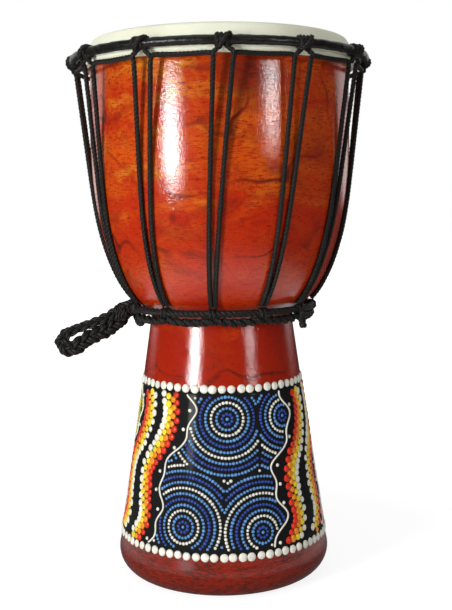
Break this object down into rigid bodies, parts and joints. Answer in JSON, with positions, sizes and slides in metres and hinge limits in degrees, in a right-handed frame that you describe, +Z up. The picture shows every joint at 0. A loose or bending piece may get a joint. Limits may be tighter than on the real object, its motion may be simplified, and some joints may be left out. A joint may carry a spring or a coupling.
{
  "type": "goblet hand drum",
  "caption": "Rope-tuned goblet hand drum with a turned wooden shell, goatskin head, crown ring, lacing rope and a braided carry handle.",
  "frame": {"origin": "centre of the foot's flat base, on the surface that the drum stands on", "axes": "+Z up along the shell's axis towards the head; -Y towards the front; +X to the right as seen from the front, with the carry handle on the -X side"},
  "size_m": [0.2368, 0.2266, 0.4],
  "materials": {
    "varnished_wood": "gloss varnish over red-brown stain",
    "goatskin": "dry, matt, cream",
    "hoop_steel": "plain rod, hidden",
    "black_cloth": "tight winding, slight sheen",
    "black_cord": "twisted synthetic cord, slight sheen",
    "ground_paint": "black ground under lacquer",
    "white_paint": "raised paint dots",
    "yellow_paint": "raised paint dots",
    "orange_paint": "raised paint dots",
    "red_paint": "raised paint dots",
    "light_blue_paint": "raised paint dots",
    "dark_blue_paint": "raised paint dots",
    "magenta_paint": "raised paint dots",
    "green_paint": "raised paint dots"
  },
  "bodies": {
    "drum": {"crown_hitch_01": "black_cord", "crown_hitch_02": "black_cord", "crown_hitch_03": "black_cord", "crown_hitch_04": "black_cord", "crown_hitch_05": "black_cord", "crown_hitch_06": "black_cord", "crown_hitch_07": "black_cord", "crown_hitch_08": "black_cord", "crown_hitch_09": "black_cord", "crown_hitch_10": "black_cord", "crown_hitch_11": "black_cord", "crown_hitch_12": "black_cord", "crown_ring": "hoop_steel", "crown_ring_winding": "black_cloth", "drumhead": "goatskin", "flesh_hoop": "hoop_steel", "lower_hitch_01": "black_cord", "lower_hitch_02": "black_cord", "lower_hitch_03": "black_cord", "lower_hitch_04": "black_cord", "lower_hitch_05": "black_cord", "lower_hitch_06": "black_cord", "lower_hitch_07": "black_cord", "lower_hitch_08": "black_cord", "lower_hitch_09": "black_cord", "lower_hitch_10": "black_cord", "lower_hitch_11": "black_cord", "lower_hitch_12": "black_cord", "lower_ring": "hoop_steel", "lower_ring_winding": "black_cord", "lower_swags": "black_cord", "rope_tail": "black_cord", "shell": "varnished_wood", "tension_rope_01": "black_cord", "tension_rope_02": "black_cord", "tension_rope_03": "black_cord", "tension_rope_04": "black_cord", "tension_rope_05": "black_cord", "tension_rope_06": "black_cord", "tension_rope_07": "black_cord", "tension_rope_08": "black_cord", "tension_rope_09": "black_cord", "tension_rope_10": "black_cord", "tension_rope_11": "black_cord", "tension_rope_12": "black_cord"},
    "handle": {"handle_knot": "black_cord", "carry_handle": "black_cord"}
  },
  "joints": [
    {"name": "handle_swing", "type": "hinge", "parent": "drum", "child": "handle", "pos_m": [-0.06744, -0.01201, 0.20453], "axis": [-0.1754, 0.9845, 0], "range_deg": [-25, 50]}
  ]
}
